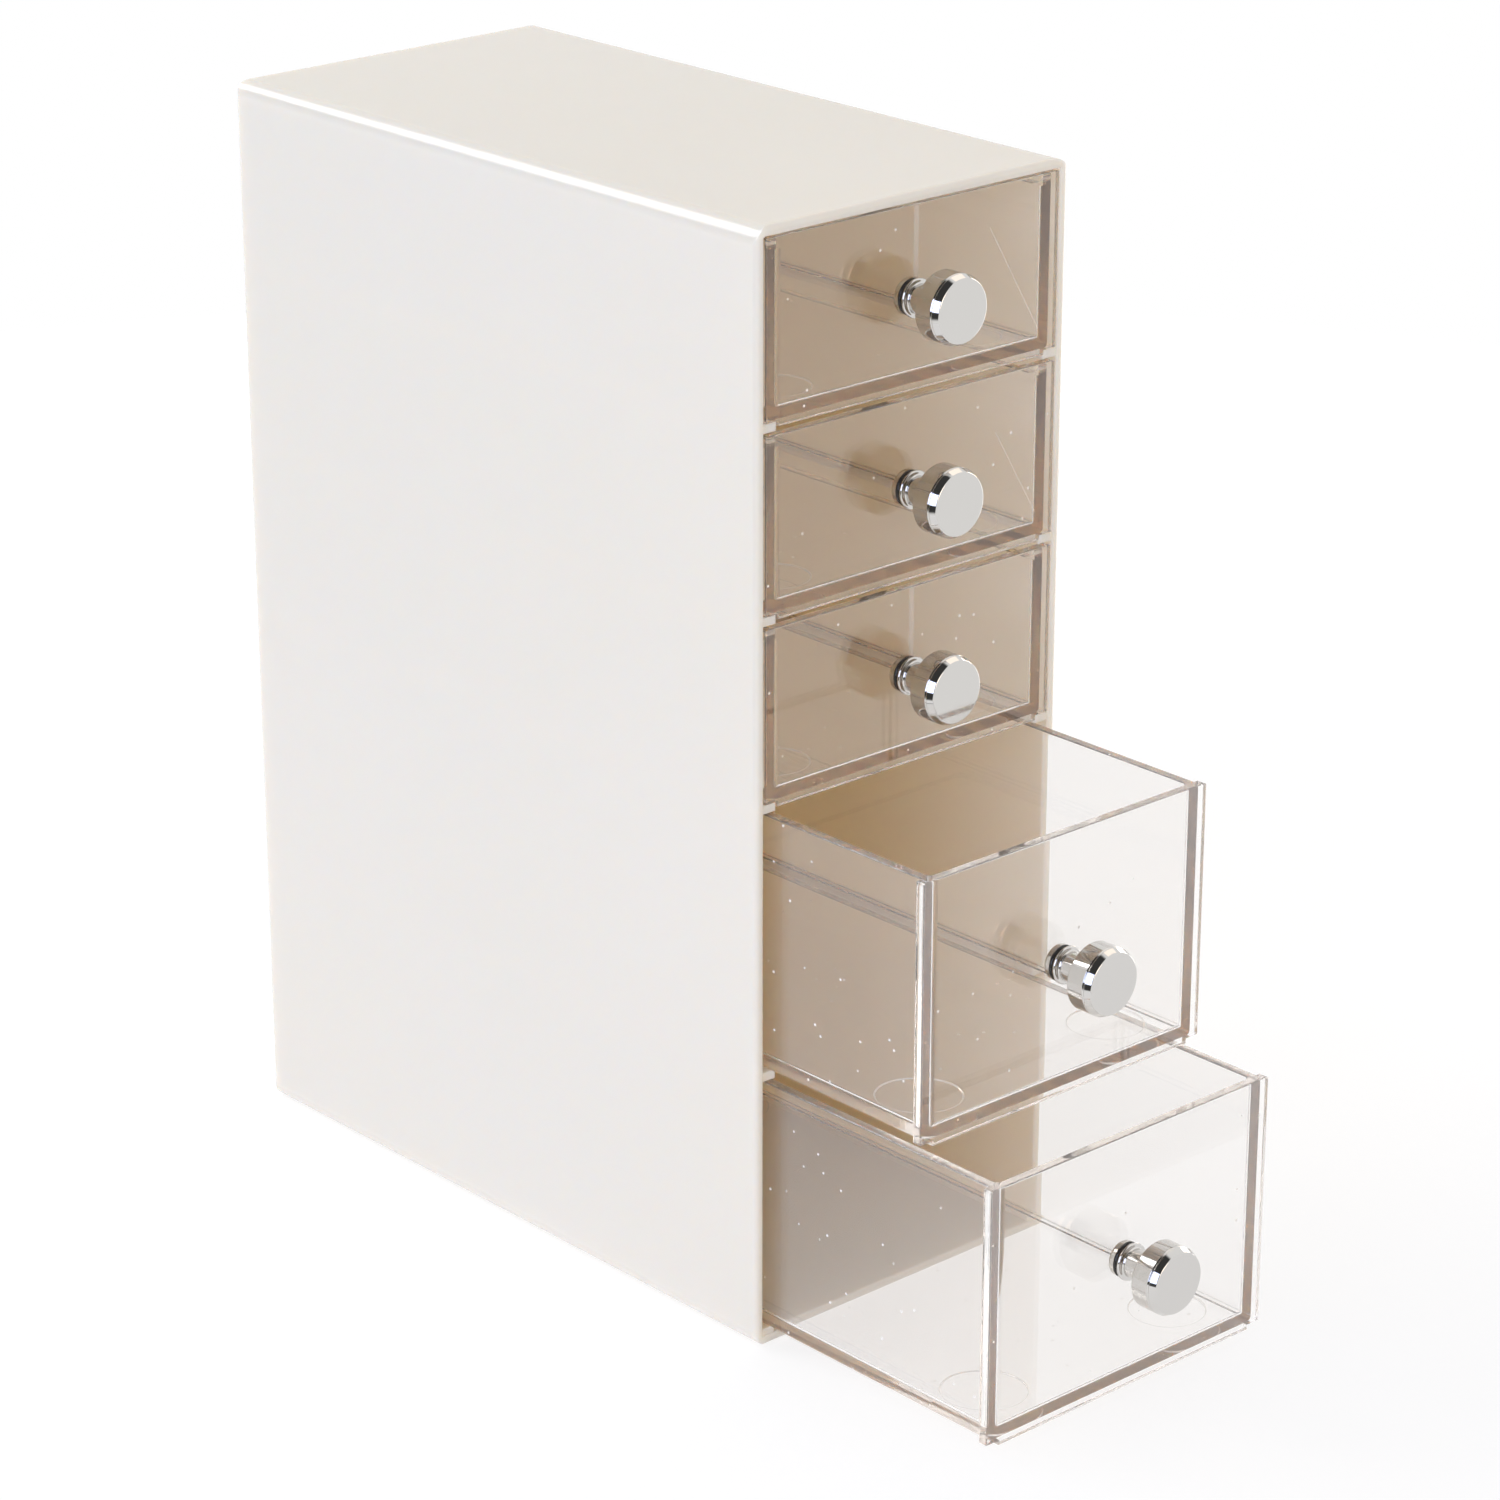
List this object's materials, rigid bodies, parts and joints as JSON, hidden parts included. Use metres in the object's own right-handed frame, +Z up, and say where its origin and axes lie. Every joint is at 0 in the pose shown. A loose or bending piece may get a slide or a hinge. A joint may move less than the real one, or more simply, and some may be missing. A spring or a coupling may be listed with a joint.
{
  "type": "cosmetics drawer organizer",
  "caption": "Tall narrow desktop organizer: a glossy moulded casing, open at the front, holds a stack of clear drawers that slide out by round chrome knobs.",
  "frame": {"origin": "centre of the casing's underside, on the surface that it stands on", "axes": "+Z up; -Y points out of the open front, the way the drawers pull out; X runs across the drawers' width"},
  "size_m": [0.089, 0.2581, 0.252],
  "materials": {
    "casing_plastic": "glossy moulded cream-white plastic",
    "clear_plastic": "clear polished plastic",
    "knob_chrome": "bright polished chrome",
    "screw_steel": "zinc-plated steel"
  },
  "bodies": {
    "casing_body": {"casing": "casing_plastic"},
    "drawer_1_body": {"drawer_1": "clear_plastic", "knob_1": "knob_chrome", "screw_1": "screw_steel"},
    "drawer_2_body": {"drawer_2": "clear_plastic", "knob_2": "knob_chrome", "screw_2": "screw_steel"},
    "drawer_3_body": {"drawer_3": "clear_plastic", "knob_3": "knob_chrome", "screw_3": "screw_steel"},
    "drawer_4_body": {"drawer_4": "clear_plastic", "knob_4": "knob_chrome", "screw_4": "screw_steel"},
    "drawer_5_body": {"drawer_5": "clear_plastic", "knob_5": "knob_chrome", "screw_5": "screw_steel"}
  },
  "joints": [
    {"name": "drawer_1_slide", "type": "slide", "parent": "casing_body", "child": "drawer_1_body", "axis": [0, -1, 0], "range_m": [0, 0.12]},
    {"name": "drawer_2_slide", "type": "slide", "parent": "casing_body", "child": "drawer_2_body", "axis": [0, -1, 0], "range_m": [0, 0.12]},
    {"name": "drawer_3_slide", "type": "slide", "parent": "casing_body", "child": "drawer_3_body", "axis": [0, -1, 0], "range_m": [0, 0.12]},
    {"name": "drawer_4_slide", "type": "slide", "parent": "casing_body", "child": "drawer_4_body", "axis": [0, -1, 0], "range_m": [-0.048, 0.072]},
    {"name": "drawer_5_slide", "type": "slide", "parent": "casing_body", "child": "drawer_5_body", "axis": [0, -1, 0], "range_m": [-0.069, 0.051]}
  ]
}
